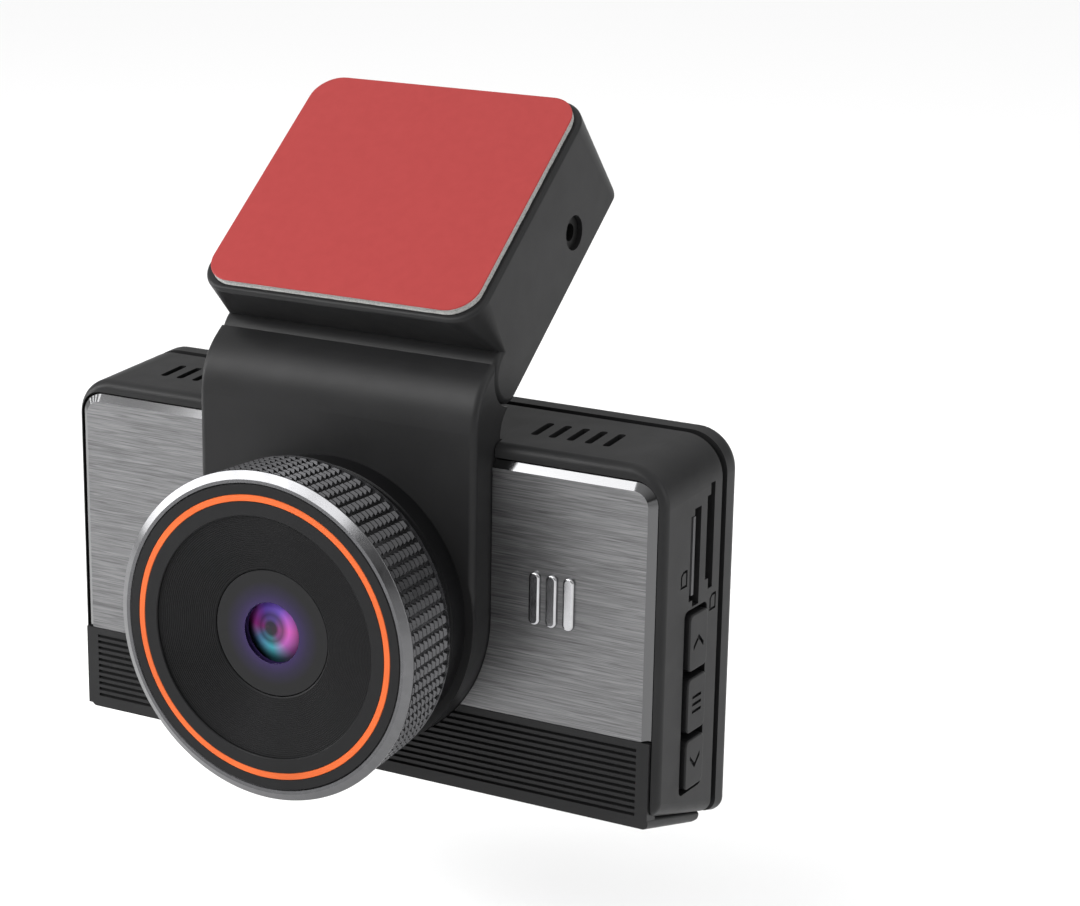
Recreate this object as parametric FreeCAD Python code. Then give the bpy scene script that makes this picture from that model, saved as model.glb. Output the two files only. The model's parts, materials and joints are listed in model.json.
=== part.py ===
import FreeCAD, Part
import math
import os

# Dash camera with a windscreen mount.
# Millimetres.  +Z is up, -Y is the way the lens looks, +X is the side with the keys.
# Everything is drawn about the middle of the front plates and moved at the end, so that
# the finished part's origin is the centre of the adhesive pad's outer face.

V = FreeCAD.Vector
X_AXIS = V(1, 0, 0)
Y_AXIS = V(0, 1, 0)

# ---------------------------------------------------------------- driving dimensions
# Body: a box that grows slightly towards the display, with a sloping underside.
FRONT_HALF_WIDTH = 47.05
FRONT_MIDDLE = 0.35
MIDDLE_DRAFT = 0.04
FRONT_TOP = 20.6
FRONT_BOTTOM = -28.6
DRAFT_FROM = 2.0
SIDE_DRAFT = 0.02
TOP_DRAFT = 0.056
BOTTOM_DRAFT = 0.307
TOP_CORNER_R = 5.6
BOTTOM_CORNER_R = 2.2
WALL = 1.7
RIM_Y = 0.4
FRONT_WALL_Y = 2.55
CAVITY_Y = 4.2
GROOVE_FRONT_Y = 16.3
GROOVE_REAR_Y = 17.7
GROOVE_DEPTH = 0.9
REAR_Y = 21.2

# Display: a cover glass over a 3 inch panel.
GLASS_HALF_WIDTH = 44.5
GLASS_LOW = -29.0
GLASS_HIGH = 18.4
GLASS_DEPTH = 0.95
LCD_HALF_WIDTH = 34.0
LCD_LOW = -24.2
LCD_HIGH = 13.9

# Fascia and its two brushed plates.
PLATE_MIDDLE = 0.15
PLATE_HALF_WIDTH = 46.0
PLATE_LOW = -17.25
PLATE_HIGH = 18.5
PLATE_THICKNESS = 1.0
PLATE_SLOPE_WIDTH = 1.15
PLATE_SLOPE_DEPTH = 0.75
PLATE_CORNER_R = 3.3
OPENING_HALF_WIDTH = 46.2
OPENING_TOP = 18.7
OPENING_CORNER_R = 3.5
FASCIA_BOTTOM = -29.7
RIB_PITCH = 0.92
RIB_COUNT = 11
RIB_TOP = -18.3
RIB_ENDS = (-43.9, 44.3)
RIB_DEPTH = 0.45
FOOT_ENDS = (-45.3, 46.3)
FOOT_REAR_Y = 17.0

# Lens unit, turned about an axis parallel to Y.
LENS_Z = -3.8
ARM_HALF_WIDTH = 21.85
ARM_FRONT_Y = -4.7
ARM_REAR_Y = 2.16
ARM_EDGE_R = 0.9
LENS_FRONT_Y = -22.75
KNURL_FRONT_R = 22.8
KNURL_REAR_R = 22.1
KNURL_FRONT_Y = -22.1
KNURL_REAR_Y = -10.8
SLOPE_INNER_R = 21.7
BEZEL_R = 21.1
BEZEL_INNER_R = 16.75
ACCENT_INNER_R = 18.75
ACCENT_OUTER_R = 19.65
COLLAR_R = 20.6
CONE_INNER_R = 8.85
CONE_DEPTH = 2.0
CONE_STEPS = 16
BARREL_R = 9.3
RING_SEAT_R = COLLAR_R - 0.9
RING_BACK_Y = -20.4
COVER_GLASS_THICKNESS = 0.9
ELEMENT_R = 7.15
ELEMENT_BACK_Y = -15.5
ELEMENT_HEIGHT = 3.5
DOME_R = 10.5
DISH_R = 8.5
DISH_DEPTH = 1.2

# Mount head: its own frame has y along the pad's slope and z out of the pad.
HEAD_ORIGIN = V(0, 5.73, 25.8)
HEAD_SLOPE = 37.2
HEAD_LENGTH = 39.5
HEAD_LOWER_LIP = -1.6
HEAD_DEPTH = 15.0
HEAD_TOP_CORNER_R = (3.0, 5.0)
HEAD_LOWER_CORNER_R = (0.9, 4.8)
HEAD_REAR_R = 2.8
COVER_THICKNESS = 1.3
FOAM_THICKNESS = 0.9
LINER_THICKNESS = 0.2
PAD_HALF_WIDTH = 20.9
PAD_HALF_LENGTH = 19.65
PAD_MIDDLE = 19.1
PAD_CORNER_R = 4.2
NECK_THICKNESS = 7.5

# Tilt hinge between the head's ears and the camera's barrel.
HINGE_U = 1.4
HINGE_N = 3.2
HINGE_R = 3.2
HOOD_R = 4.3
HINGE_CLEARANCE = 0.25
PIN_R = 1.5
PIN_CLEARANCE = 0.05
EAR_INNER_X = 19.2
BARREL_HALF_WIDTH = 18.65
HOOD_END_ANGLE = 165.0
REAR_WALL_ANGLE = 331.0
WEB_ANGLES = (188.0, 306.0)
LIP_FROM_CREASE = 2.2

# Side keys, card slots, sockets and vents.
KEY_Z = [(-9.4, -1.3), (-18.3, -10.4), (-26.5, -19.3)]
KEY_Y = (7.6, 12.7)
KEY_POCKET_Y = (6.7, 13.05)
KEY_POCKET_Z = (-27.15, -0.6)
KEY_CORNER_R = 0.9
SYMBOL_DEPTH = 0.3
KEY_PROUD = 0.45
CARD_MIDDLE_Z = 6.6
CARD_Y = 9.3
CARD_SIZE = (15.0, 0.7, 11.0)
CARD_END_X = 47.5
REAR_CARD_MIDDLE_Z = 8.0
REAR_CARD_Y = 13.6
JACK_U = 25.4
JACK_N = 5.1
JACK_BORE_R = 1.25
JACK_HOLE_R = 2.45
VENT_X = [side * (24.8 + 2.7 * i) for side in (-1, 1) for i in range(5)]
VENT_Y = (6.1, 11.6)
VENT_WIDTH = 1.1

# Boards and fasteners.
BOARD_Y = 11.0
BOARD_THICKNESS = 1.0
SCREW_R = 1.0
SCREW_HEAD_R = 1.6
CORNER_POST_R = 2.2
CORNER_SCREWS = [(-40.5, 16.6), (40.5, 16.6), (-40.5, -25.0), (37.6, -25.0)]
BOARD_SCREWS = [(-30.0, 14.0), (25.0, 14.0), (-30.0, -24.0), (24.0, -24.0)]
ARM_SCREWS = [(-14.5, 8.0), (14.5, 8.0), (-14.5, -15.6), (14.5, -15.6)]
HEAD_SCREWS = [(-17.0, 9.5), (17.0, 9.5), (-17.0, 35.0), (17.0, 35.0)]


# ---------------------------------------------------------------- shape helpers
def box(x0, x1, y0, y1, z0, z1):
    return Part.makeBox(x1 - x0, y1 - y0, z1 - z0, V(x0, y0, z0))


def cylinder_y(radius, y0, y1, x=0.0, z=LENS_Z):
    return Part.makeCylinder(radius, y1 - y0, V(x, y0, z), Y_AXIS)


def cylinder_x(radius, x0, x1, y, z):
    return Part.makeCylinder(radius, x1 - x0, V(x0, y, z), X_AXIS)


def cylinder_z(radius, z0, z1, x, y):
    return Part.makeCylinder(radius, z1 - z0, V(x, y, z0), V(0, 0, 1))


def turned(profile):
    """Revolve a closed outline of (radius, y) points about the lens axis."""
    points = [V(radius, y, LENS_Z) for radius, y in profile]
    face = Part.Face(Part.makePolygon(points + points[:1]))
    return face.revolve(V(0, 0, LENS_Z), Y_AXIS, 360)


def prism_x(outline, x0, x1):
    """Extrude a closed outline of (y, z) points along X."""
    points = [V(x0, y, z) for y, z in outline]
    return Part.Face(Part.makePolygon(points + points[:1])).extrude(V(x1 - x0, 0, 0))


def rounded_outline(half_width, low, high, low_r, high_r, place):
    """Rounded rectangle wire; place turns (across, up) into a point."""
    w, a, b = half_width, low_r, high_r
    k = 1 - math.sqrt(0.5)
    corners = [
        ((w - a, low), (w - a * k, low + a * k), (w, low + a)),
        ((w, high - b), (w - b * k, high - b * k), (w - b, high)),
        ((-w + b, high), (-w + b * k, high - b * k), (-w, high - b)),
        ((-w, low + a), (-w + a * k, low + a * k), (-w + a, low)),
    ]
    edges = []
    for i, corner in enumerate(corners):
        start, middle, end = [place(*point) for point in corner]
        edges.append(Part.Arc(start, middle, end).toShape())
        following = place(*corners[(i + 1) % 4][0])
        edges.append(Part.LineSegment(end, following).toShape())
    return Part.Wire(edges)


def rounded_plate_y(half_width, low, high, low_r, high_r, y0, y1):
    wire = rounded_outline(half_width, low, high, low_r, high_r, lambda x, z: V(x, y0, z))
    return Part.Face(wire).extrude(V(0, y1 - y0, 0))


def rounded_plate_z(half_width, low, high, radius, z0, z1):
    wire = rounded_outline(half_width, low, high, radius, radius, lambda x, y: V(x, y, z0))
    return Part.Face(wire).extrude(V(0, 0, z1 - z0))


def body_bottom(y):
    return FRONT_BOTTOM - (y - DRAFT_FROM) * BOTTOM_DRAFT


def body_middle(y):
    return FRONT_MIDDLE + (y - DRAFT_FROM) * MIDDLE_DRAFT


def body_half_width(y):
    return FRONT_HALF_WIDTH + (y - DRAFT_FROM) * SIDE_DRAFT


def right_side(y):
    return body_middle(y) + body_half_width(y)


def moved_x(shape, distance):
    moved = shape.copy()
    moved.translate(V(distance, 0, 0))
    return moved


def body_section(y, inset):
    return rounded_outline(
        body_half_width(y) - inset,
        body_bottom(y) + inset,
        FRONT_TOP + (y - DRAFT_FROM) * TOP_DRAFT - inset,
        max(BOTTOM_CORNER_R - inset, 0.5),
        TOP_CORNER_R - inset,
        lambda x, z: V(x + body_middle(y), y, z))


def body_block(y0, y1, inset=0.0):
    return Part.makeLoft([body_section(y0, inset), body_section(y1, inset)], True, True)


def fillet_where(shape, radius, test):
    edges = [edge for edge in shape.Edges if test(edge.BoundBox)]
    return shape.makeFillet(radius, edges)


def to_head(shape):
    """Turn a shape drawn in the head's own frame into the camera's frame."""
    moved = shape.copy()
    turn = FreeCAD.Placement(HEAD_ORIGIN, FreeCAD.Rotation(X_AXIS, HEAD_SLOPE))
    moved.Placement = turn.multiply(moved.Placement)
    return moved


def head_point(u, n):
    angle = math.radians(HEAD_SLOPE)
    y = HEAD_ORIGIN.y + u * math.cos(angle) - n * math.sin(angle)
    z = HEAD_ORIGIN.z + u * math.sin(angle) + n * math.cos(angle)
    return y, z


def screw_y(x, z, head_y, tip_y, radius=SCREW_R, head_r=SCREW_HEAD_R, head_height=1.0):
    """Pan-head screw along Y with a cross recess; its head lies beyond head_y."""
    direction = 1 if head_y > tip_y else -1
    shank = cylinder_y(radius, min(head_y, tip_y), max(head_y, tip_y), x, z)
    top = head_y + direction * head_height
    head = cylinder_y(head_r, min(head_y, top), max(head_y, top), x, z)
    recess_end = top - direction * head_height * 0.6
    low, high = min(top, recess_end), max(top, recess_end)
    cross = box(x - head_r * 0.6, x + head_r * 0.6, low, high, z - 0.2, z + 0.2)
    cross = cross.fuse(box(x - 0.2, x + 0.2, low, high, z - head_r * 0.6, z + head_r * 0.6))
    return head.fuse(shank).removeSplitter().cut(cross)


def sector(centre, angles, x_half):
    """Wedge of space round an axis along X, between two angles in degrees."""
    reach = 14.0
    start, end = angles
    rim = [math.radians(start + (end - start) * i / 4) for i in range(5)]
    outline = [centre] + [(centre[0] + reach * math.cos(a), centre[1] + reach * math.sin(a))
                          for a in rim]
    return prism_x(outline, -x_half, x_half)


HINGE_Y, HINGE_Z = head_point(HINGE_U, HINGE_N)
COVER_TOP = HEAD_DEPTH + COVER_THICKNESS
FOAM_TOP = COVER_TOP + FOAM_THICKNESS
PAD_FACE = FOAM_TOP + LINER_THICKNESS
REAR_MIDDLE = body_middle(REAR_Y)

parts = {}


# ---------------------------------------------------------------- windscreen pad and head
def head_block(depth):
    """Slab whose lower edge leans out, with corners that open from the hinge to the rim."""
    def section(n, low, low_r):
        share = n / COVER_TOP
        rear_r, rim_r = HEAD_TOP_CORNER_R
        return rounded_outline(ARM_HALF_WIDTH, low, HEAD_LENGTH, low_r,
                               rear_r + (rim_r - rear_r) * share, lambda x, y: V(x, y, n))

    rear = section(0, HINGE_U, HEAD_LOWER_CORNER_R[0])
    neck = section(NECK_THICKNESS, HINGE_U, HEAD_LOWER_CORNER_R[0])
    rim = section(depth, HEAD_LOWER_LIP, HEAD_LOWER_CORNER_R[1])
    block = Part.makeLoft([rear, neck], True, True)
    block = block.fuse(Part.makeLoft([neck, rim], True, True)).removeSplitter()
    back = box(-30, 30, -10, HEAD_LENGTH, 0, depth)
    back = fillet_where(
        back, HEAD_REAR_R, lambda b: b.XLength > 10 and b.YMin > HEAD_LENGTH - 1 and b.ZMax < 1)
    return block.common(back)


def make_head():
    whole = head_block(COVER_TOP)
    slab = box(-30, 30, -10, 60, HEAD_DEPTH, COVER_TOP)
    cover = whole.common(slab)
    housing = whole.cut(slab)
    cover = fillet_where(
        cover, 0.6, lambda b: b.ZMin > COVER_TOP - 0.01)

    cavity = box(-20.2, 20.2, 7.5, HEAD_LENGTH - 1.7, 1.7, HEAD_DEPTH)
    cavity = cavity.fuse(box(-20.2, 20.2, 2.6, 8.0, 9.6, HEAD_DEPTH)).removeSplitter()
    housing = housing.cut(cavity)
    for x, u in HEAD_SCREWS:
        housing = housing.fuse(cylinder_z(2.2, 1.7, HEAD_DEPTH, x, u))
    housing = housing.removeSplitter()
    for x, u in HEAD_SCREWS:
        housing = housing.cut(cylinder_z(0.8, 8.0, HEAD_DEPTH, x, u))
        cover = cover.cut(cylinder_z(0.9, HEAD_DEPTH, COVER_TOP, x, u))
        cover = cover.cut(cylinder_z(1.7, COVER_TOP - 0.7, COVER_TOP, x, u))

    # Round hood over the camera's barrel, closed by an ear at each end.
    hood = cylinder_x(HOOD_R, -ARM_HALF_WIDTH, ARM_HALF_WIDTH, HINGE_U, HINGE_N)
    hood = fillet_where(hood, ARM_EDGE_R, lambda b: b.XLength < 0.1 and b.YLength > HOOD_R)
    hood = hood.common(box(-30, 30, -20, 20, 0, 30))
    open_angles = (HOOD_END_ANGLE - HEAD_SLOPE, REAR_WALL_ANGLE - HEAD_SLOPE)
    hood = hood.cut(sector((HINGE_U, HINGE_N), open_angles, EAR_INNER_X))
    housing = housing.fuse(hood)
    channel_r = HINGE_R + HINGE_CLEARANCE
    housing = housing.cut(cylinder_x(channel_r, -EAR_INNER_X, EAR_INNER_X, HINGE_U, HINGE_N))
    for side in (-1, 1):
        pin_end = side * (ARM_HALF_WIDTH - 0.95)
        x0, x1 = sorted((side * EAR_INNER_X, pin_end))
        housing = housing.cut(cylinder_x(PIN_R, x0, x1, HINGE_U, HINGE_N))
    housing = housing.removeSplitter()

    # Audio-video jack opening on the right, power inlet on the left.
    housing = housing.cut(cylinder_x(JACK_HOLE_R, 19.0, 23.0, JACK_U, JACK_N))
    inlet = box(-23.0, -19.0, JACK_U - 4.6, JACK_U + 4.6, JACK_N - 1.75, JACK_N + 1.75)
    inlet = fillet_where(inlet, 1.7, lambda b: b.XLength > 3)
    housing = housing.cut(inlet)
    parts["head_housing"] = to_head(housing)
    parts["head_cover"] = to_head(cover)


def make_pad():
    low, high = PAD_MIDDLE - PAD_HALF_LENGTH, PAD_MIDDLE + PAD_HALF_LENGTH
    foam = rounded_plate_z(PAD_HALF_WIDTH, low, high, PAD_CORNER_R, COVER_TOP, FOAM_TOP)
    liner = rounded_plate_z(PAD_HALF_WIDTH, low, high, PAD_CORNER_R, FOAM_TOP, PAD_FACE)
    parts["adhesive_foam"] = to_head(foam)
    parts["red_liner"] = to_head(liner)


def make_head_inside():
    board = box(-19.5, 19.5, 12.2, 32.4, 8.2, 9.2)
    parts["head_board"] = to_head(board)
    antenna = box(-9.0, 9.0, 13.5, 31.5, 9.2, 13.2)
    antenna = fillet_where(antenna, 0.8, lambda b: b.ZLength > 3)
    parts["gps_antenna"] = to_head(antenna)

    body = box(8.6, 20.0, JACK_U - 3.2, JACK_U + 3.2, JACK_N - 3.0, 8.2)
    sleeve = cylinder_x(JACK_HOLE_R - 0.05, 20.0, 21.1, JACK_U, JACK_N)
    jack = body.fuse(sleeve).removeSplitter()
    jack = jack.cut(cylinder_x(JACK_BORE_R, 10.1, 21.1, JACK_U, JACK_N))
    parts["av_jack"] = to_head(jack)

    shell = box(-21.4, -13.6, JACK_U - 4.47, JACK_U + 4.47, JACK_N - 1.63, JACK_N + 1.63)
    shell = fillet_where(shell, 1.5, lambda b: b.XLength > 3)
    hollow = box(-21.4, -14.6, JACK_U - 4.17, JACK_U + 4.17, JACK_N - 1.3, JACK_N + 1.3)
    hollow = fillet_where(hollow, 1.2, lambda b: b.XLength > 3)
    tongue = box(-20.6, -14.6, JACK_U - 3.3, JACK_U + 3.3, JACK_N - 0.35, JACK_N + 0.35)
    parts["power_inlet"] = to_head(shell.cut(hollow).fuse(tongue).removeSplitter())

    screws = []
    for x, u in HEAD_SCREWS:
        head = cylinder_z(1.6, COVER_TOP - 0.7, COVER_TOP - 0.1, x, u)
        screw = head.fuse(cylinder_z(0.8, 9.0, COVER_TOP - 0.7, x, u)).removeSplitter()
        slot = box(x - 0.9, x + 0.9, u - 0.18, u + 0.18, COVER_TOP - 0.4, COVER_TOP)
        screws.append(screw.cut(slot))
    parts["head_screws"] = to_head(Part.makeCompound(screws))


def make_hinge():
    pin_end = ARM_HALF_WIDTH - 0.95
    parts["hinge_pin"] = to_head(cylinder_x(PIN_R, -pin_end, pin_end, HINGE_U, HINGE_N))
    washers = []
    for side in (-1, 1):
        x0, x1 = sorted((side * EAR_INNER_X, side * (BARREL_HALF_WIDTH + 0.05)))
        ring = cylinder_x(HINGE_R - 0.4, x0, x1, HINGE_U, HINGE_N)
        washers.append(ring.cut(cylinder_x(PIN_R, x0, x1, HINGE_U, HINGE_N)))
    parts["hinge_washers"] = to_head(Part.makeCompound(washers))


# ---------------------------------------------------------------- arm and lens
def arm_outline_face():
    """Side view of the arm: front, convex shoulder, hinge, concave rear, back."""
    shoulder_r = 9.4
    shoulder_z = 22.75
    centre_y = ARM_FRONT_Y + shoulder_r
    crease = V(0, *head_point(HINGE_U, NECK_THICKNESS))
    # The shoulder runs tangentially into a straight top that points at the crease.
    away_y, away_z = centre_y - crease.y, crease.z - shoulder_z
    end_angle = math.atan2(away_z, away_y) - math.acos(shoulder_r / math.hypot(away_y, away_z))

    def on_shoulder(angle):
        return V(0, centre_y - shoulder_r * math.cos(angle),
                 shoulder_z + shoulder_r * math.sin(angle))

    rear_r = 4.6
    slope = math.radians(HEAD_SLOPE)
    turn = math.pi / 2 - slope
    reach = rear_r * math.tan(turn / 2)
    meet_u = (ARM_REAR_Y - HEAD_ORIGIN.y) / math.cos(slope)
    meet = V(0, *head_point(meet_u, 0))
    rear_start = V(0, *head_point(meet_u + reach, 0))
    rear_end = V(0, meet.y, meet.z - reach)
    rear_centre = V(0, rear_end.y + rear_r, rear_end.z)
    middle = math.pi - turn / 2
    rear_middle = V(0, rear_centre.y + rear_r * math.cos(middle),
                    rear_centre.z + rear_r * math.sin(middle))
    points = {
        "front_low": V(0, ARM_FRONT_Y, LENS_Z),
        "front_high": on_shoulder(0),
        "shoulder_end": on_shoulder(end_angle),
        "lip": crease + (on_shoulder(end_angle) - crease).normalize() * LIP_FROM_CREASE,
        "hinge": V(0, HINGE_Y, HINGE_Z),
        "rear_high": V(0, *head_point(HINGE_U, 0)),
        "rear_low": V(0, ARM_REAR_Y, LENS_Z),
    }

    def line(start, end):
        return Part.LineSegment(start, end).toShape()

    edges = [
        line(points["front_low"], points["front_high"]),
        Part.Arc(points["front_high"], on_shoulder(end_angle / 2),
                 points["shoulder_end"]).toShape(),
        line(points["shoulder_end"], points["lip"]),
        line(points["lip"], points["hinge"]),
        line(points["hinge"], points["rear_high"]),
        line(points["rear_high"], rear_start),
        Part.Arc(rear_start, rear_middle, rear_end).toShape(),
        line(rear_end, points["rear_low"]),
        line(points["rear_low"], points["front_low"]),
    ]
    return Part.Face(Part.Wire(edges))


def arm_footprint(gap, y0, y1):
    """Arm's outline seen from the front: straight sides with a round lower end."""
    half = ARM_HALF_WIDTH + gap
    straight = box(-half, half, y0, y1, LENS_Z, FRONT_TOP + 8)
    return straight.fuse(cylinder_y(half, y0, y1)).removeSplitter()


def make_arm():
    face = arm_outline_face()
    face.translate(V(-ARM_HALF_WIDTH, 0, 0))
    arm = face.extrude(V(2 * ARM_HALF_WIDTH, 0, 0))
    arm = fillet_where(
        arm, ARM_EDGE_R,
        lambda b: b.XLength < 0.1 and b.YMax < 1.0 and (b.ZLength > 20 or b.ZMin > 20))
    arm = arm.fuse(cylinder_y(ARM_HALF_WIDTH, ARM_FRONT_Y, ARM_REAR_Y))
    arm = arm.fuse(arm_footprint(0, ARM_REAR_Y, FRONT_WALL_Y).common(
        box(-30, 30, 0, 10, -40, 17.0)))
    # Round pocket in which the head's hood turns; a web carries the barrel in it.
    pocket = cylinder_x(HOOD_R + HINGE_CLEARANCE, -25, 25, HINGE_Y, HINGE_Z)
    pocket = pocket.cut(sector((HINGE_Y, HINGE_Z), WEB_ANGLES, BARREL_HALF_WIDTH))
    arm = arm.cut(pocket)
    arm = arm.fuse(cylinder_x(HINGE_R, -BARREL_HALF_WIDTH, BARREL_HALF_WIDTH, HINGE_Y, HINGE_Z))
    arm = arm.removeSplitter()
    arm = arm.cut(cylinder_x(PIN_R + PIN_CLEARANCE, -25, 25, HINGE_Y, HINGE_Z))
    arm = arm.cut(cylinder_y(BARREL_R + 0.1, -10, 10))
    # Cable way up through the arm, and a hollow behind the front wall.
    arm = arm.cut(box(-6, 6, -1.6, 0.6, 4, 24))
    for x, z in ARM_SCREWS:
        arm = arm.cut(cylinder_y(SCREW_R, -2.6, 5, x, z))
    parts["arm_housing"] = arm


def make_lens_rings():
    parts["lens_collar"] = turned([
        (17.4, KNURL_REAR_Y - 1.0), (RING_SEAT_R, KNURL_REAR_Y - 1.0),
        (RING_SEAT_R, KNURL_REAR_Y), (COLLAR_R, KNURL_REAR_Y), (COLLAR_R, ARM_FRONT_Y),
        (17.4, ARM_FRONT_Y)])
    parts["knurled_ring"] = turned([
        (BEZEL_R, LENS_FRONT_Y), (SLOPE_INNER_R, LENS_FRONT_Y), (KNURL_FRONT_R, KNURL_FRONT_Y),
        (KNURL_REAR_R, KNURL_REAR_Y - 0.5), (KNURL_REAR_R - 0.5, KNURL_REAR_Y),
        (RING_SEAT_R, KNURL_REAR_Y), (RING_SEAT_R, RING_BACK_Y), (BEZEL_R, RING_BACK_Y)])
    parts["lens_bezel"] = turned([
        (BEZEL_INNER_R, LENS_FRONT_Y), (ACCENT_INNER_R, LENS_FRONT_Y),
        (ACCENT_INNER_R, LENS_FRONT_Y + 0.5), (ACCENT_OUTER_R, LENS_FRONT_Y + 0.5),
        (ACCENT_OUTER_R, LENS_FRONT_Y), (BEZEL_R, LENS_FRONT_Y), (BEZEL_R, RING_BACK_Y),
        (19.4, RING_BACK_Y), (19.4, -21.2), (BEZEL_INNER_R, -21.2)])
    parts["accent_ring"] = turned([
        (ACCENT_INNER_R, LENS_FRONT_Y), (ACCENT_OUTER_R, LENS_FRONT_Y),
        (ACCENT_OUTER_R, LENS_FRONT_Y + 0.5), (ACCENT_INNER_R, LENS_FRONT_Y + 0.5)])


def make_baffle():
    """Shallow funnel of fine steps that keeps stray light off the lens."""
    front = LENS_FRONT_Y + 0.35
    run = (BEZEL_INNER_R - CONE_INNER_R) / CONE_STEPS
    drop = CONE_DEPTH / CONE_STEPS
    profile = []
    for i in range(CONE_STEPS):
        radius = BEZEL_INNER_R - i * run
        profile.append((radius, front + i * drop))
        profile.append((radius - run * 0.6, front + i * drop))
    profile.append((CONE_INNER_R, front + CONE_DEPTH))
    profile += [(CONE_INNER_R, front + CONE_DEPTH + 1.0), (15.4, front + CONE_DEPTH + 1.0),
                (15.4, front + 2.4), (BEZEL_INNER_R, front + 2.4)]
    parts["lens_baffle"] = turned(profile)


def make_optics():
    glass_y = LENS_FRONT_Y + 0.35 + CONE_DEPTH + 0.1
    seat_y = glass_y + COVER_GLASS_THICKNESS
    parts["cover_glass"] = cylinder_y(CONE_INNER_R - 0.05, glass_y, seat_y)
    parts["lens_barrel"] = turned([
        (ELEMENT_R + 0.05, seat_y), (BARREL_R, seat_y), (BARREL_R, 3.4), (5.0, 3.4),
        (5.0, -8.0), (6.2, -8.0), (6.2, ELEMENT_BACK_Y), (ELEMENT_R + 0.05, ELEMENT_BACK_Y)])
    # Front element: domed outside, dished inside, with a short straight rim.
    blank = cylinder_y(ELEMENT_R, ELEMENT_BACK_Y - 4.0, ELEMENT_BACK_Y)
    dome = Part.makeSphere(DOME_R, V(0, ELEMENT_BACK_Y + DOME_R - ELEMENT_HEIGHT, LENS_Z))
    dish = Part.makeSphere(DISH_R, V(0, ELEMENT_BACK_Y + DISH_R - DISH_DEPTH, LENS_Z))
    parts["front_element"] = blank.common(dome).cut(dish)
    inner = cylinder_y(6.15, -13.4, -9.2)
    lower = Part.makeSphere(9.0, V(0, -4.6, LENS_Z))
    parts["inner_element"] = inner.common(lower)
    rear = cylinder_y(4.95, -7.0, -3.6)
    parts["rear_element"] = rear.common(Part.makeSphere(7.5, V(0, -1.0, LENS_Z)))
    parts["filter_glass"] = cylinder_y(4.95, 1.6, 2.2)
    parts["sensor_holder"] = box(-9, 9, 4.3, 6.3, LENS_Z - 9, LENS_Z + 9).fuse(
        cylinder_y(BARREL_R, 3.4, 4.3)).removeSplitter().cut(
        box(-5, 5, 3.4, 6.3, LENS_Z - 5, LENS_Z + 5))
    parts["image_sensor"] = box(-4.2, 4.2, 5.3, 6.3, LENS_Z - 3.4, LENS_Z + 3.4)
    parts["sensor_board"] = box(-12, 12, 6.3, 7.3, LENS_Z - 12, LENS_Z + 12)


# ---------------------------------------------------------------- body shells
def key_pocket():
    pocket = box(44.0, 50.0, KEY_POCKET_Y[0], KEY_POCKET_Y[1], KEY_POCKET_Z[0], KEY_POCKET_Z[1])
    return fillet_where(pocket, KEY_CORNER_R, lambda b: b.XLength > 3)


def card_slots():
    """Each slot is a long slit with a wider middle for the card."""
    front_slit = box(44, 50, 8.7, 10.5, -0.3, 13.4)
    front_wide = box(44, 50, 7.7, 10.5, 0.6, 12.5)
    rear_slit = box(44, 50, 13.1, 14.3, 1.0, 15.9)
    rear_wide = box(44, 50, 12.2, 14.3, 2.5, 14.3)
    return [front_slit.fuse(front_wide).removeSplitter(),
            rear_slit.fuse(rear_wide).removeSplitter()]


def card_mark(y, z):
    """Plain clipped-corner card symbol, debossed beside a slot."""
    depth_from = right_side(y) - SYMBOL_DEPTH
    outer = [(y - 0.9, z - 1.2), (y + 0.9, z - 1.2), (y + 0.9, z + 1.2),
             (y - 0.3, z + 1.2), (y - 0.9, z + 0.6)]
    inner = [(y - 0.55, z - 0.85), (y + 0.55, z - 0.85), (y + 0.55, z + 0.85),
             (y - 0.15, z + 0.85), (y - 0.55, z + 0.45)]
    return prism_x(outer, depth_from, 50).cut(prism_x(inner, depth_from, 50))


def make_front_shell():
    outer = body_block(RIM_Y, GROOVE_FRONT_Y)
    outer = fillet_where(outer, 1.4, lambda b: b.YMax < RIM_Y + 0.01)
    lip = body_block(GROOVE_FRONT_Y, GROOVE_REAR_Y, GROOVE_DEPTH)
    shell = outer.fuse(lip).cut(body_block(CAVITY_Y, GROOVE_REAR_Y + 0.01, WALL))
    opening = rounded_plate_y(OPENING_HALF_WIDTH, -45, OPENING_TOP, 1.0, OPENING_CORNER_R,
                              -2, FRONT_WALL_Y)
    shell = shell.cut(moved_x(opening, PLATE_MIDDLE))
    shell = shell.cut(box(-22.05, 22.05, -1, FRONT_WALL_Y, 15, 26))
    shell = shell.cut(cylinder_y(BARREL_R + 1.2, 0, 6))

    posts = []
    for x, z in CORNER_SCREWS:
        posts.append(cylinder_y(CORNER_POST_R, CAVITY_Y - 0.5, GROOVE_REAR_Y, x, z))
    for x, z in BOARD_SCREWS:
        posts.append(cylinder_y(2.2, CAVITY_Y - 0.5, BOARD_Y, x, z))
    for post in posts:
        shell = shell.fuse(post)
    shell = shell.removeSplitter()
    for x, z in CORNER_SCREWS:
        shell = shell.cut(cylinder_y(SCREW_R, 10, GROOVE_REAR_Y, x, z))
    for x, z in BOARD_SCREWS:
        shell = shell.cut(cylinder_y(SCREW_R, 6, BOARD_Y, x, z))
    for x, z in ARM_SCREWS:
        shell = shell.cut(cylinder_y(SCREW_R + 0.15, 0, 6, x, z))

    shell = shell.cut(key_pocket())
    for slot in card_slots():
        shell = shell.cut(slot)
    for x in VENT_X:
        vent = box(x - VENT_WIDTH / 2, x + VENT_WIDTH / 2, VENT_Y[0], VENT_Y[1], 17.0, 24.0)
        shell = shell.cut(fillet_where(vent, 0.5, lambda b: b.ZLength > 3))
    shell = shell.cut(card_mark(6.2, 4.2))
    shell = shell.cut(card_mark(14.7, -1.2))
    parts["front_shell"] = shell


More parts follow.
